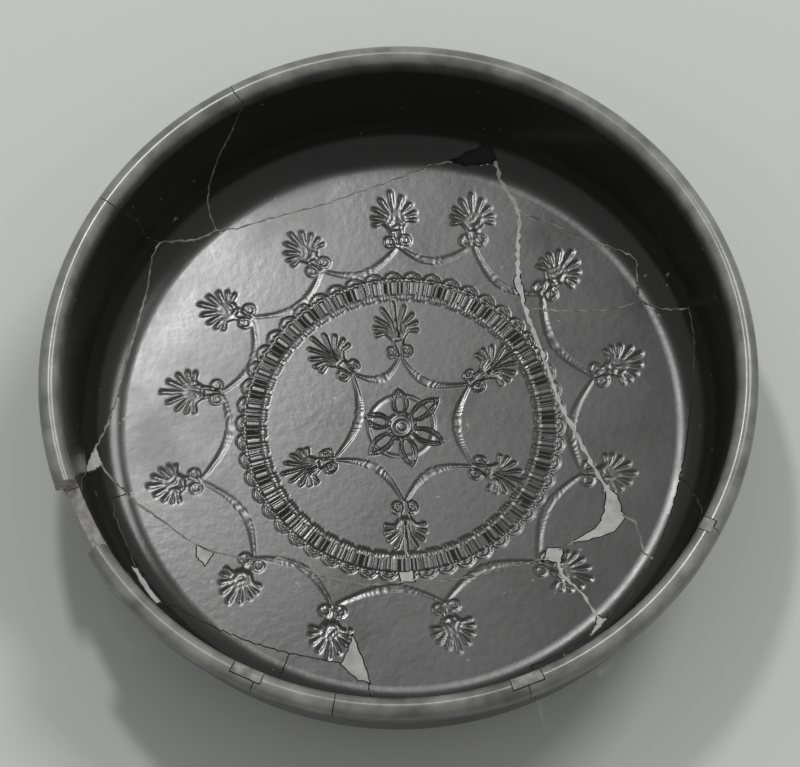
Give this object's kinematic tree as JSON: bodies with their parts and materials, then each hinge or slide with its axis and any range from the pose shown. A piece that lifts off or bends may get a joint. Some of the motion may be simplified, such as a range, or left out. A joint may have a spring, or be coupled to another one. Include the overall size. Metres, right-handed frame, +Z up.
{
  "type": "glazed bowl",
  "caption": "Shallow round bowl with a heavy rim and ring foot, in black gloss with a stamped floor, mended from sherds with plaster fills.",
  "frame": {"origin": "on the bowl's axis, on the surface that its foot stands on", "axes": "+Z up along the axis, +Y towards the top of the picture (north in the node names), +X to its right (east)"},
  "size_m": [0.2, 0.2, 0.054],
  "materials": {
    "black_gloss": "glossy black surface with soft reflections, worn in places",
    "plaster": "pale matt plaster"
  },
  "bodies": {
    "root": {"floor_sherd_centre": "black_gloss", "floor_sherd_north_east": "black_gloss", "floor_sherd_east": "black_gloss", "floor_sherd_south_east": "black_gloss", "floor_sherd_south_west": "black_gloss", "floor_sherd_south": "black_gloss", "wall_sherd_north_east": "black_gloss", "wall_sherd_north_west": "black_gloss", "wall_sherd_west": "black_gloss", "wall_sherd_south_west": "black_gloss", "wall_sherd_south": "black_gloss", "wall_sherd_south_east": "black_gloss", "plaster_fill_west": "plaster", "plaster_fill_floor_west": "plaster", "plaster_fill_wall_south_west": "plaster", "plaster_fill_south": "plaster", "plaster_fill_band": "plaster", "plaster_fill_south_east": "plaster", "plaster_fill_square": "plaster", "plaster_fill_east": "plaster", "plaster_fill_north_east": "plaster", "rim_fill_south_west": "plaster", "rim_fill_south": "plaster", "rim_fill_east": "plaster"}
  },
  "joints": []
}
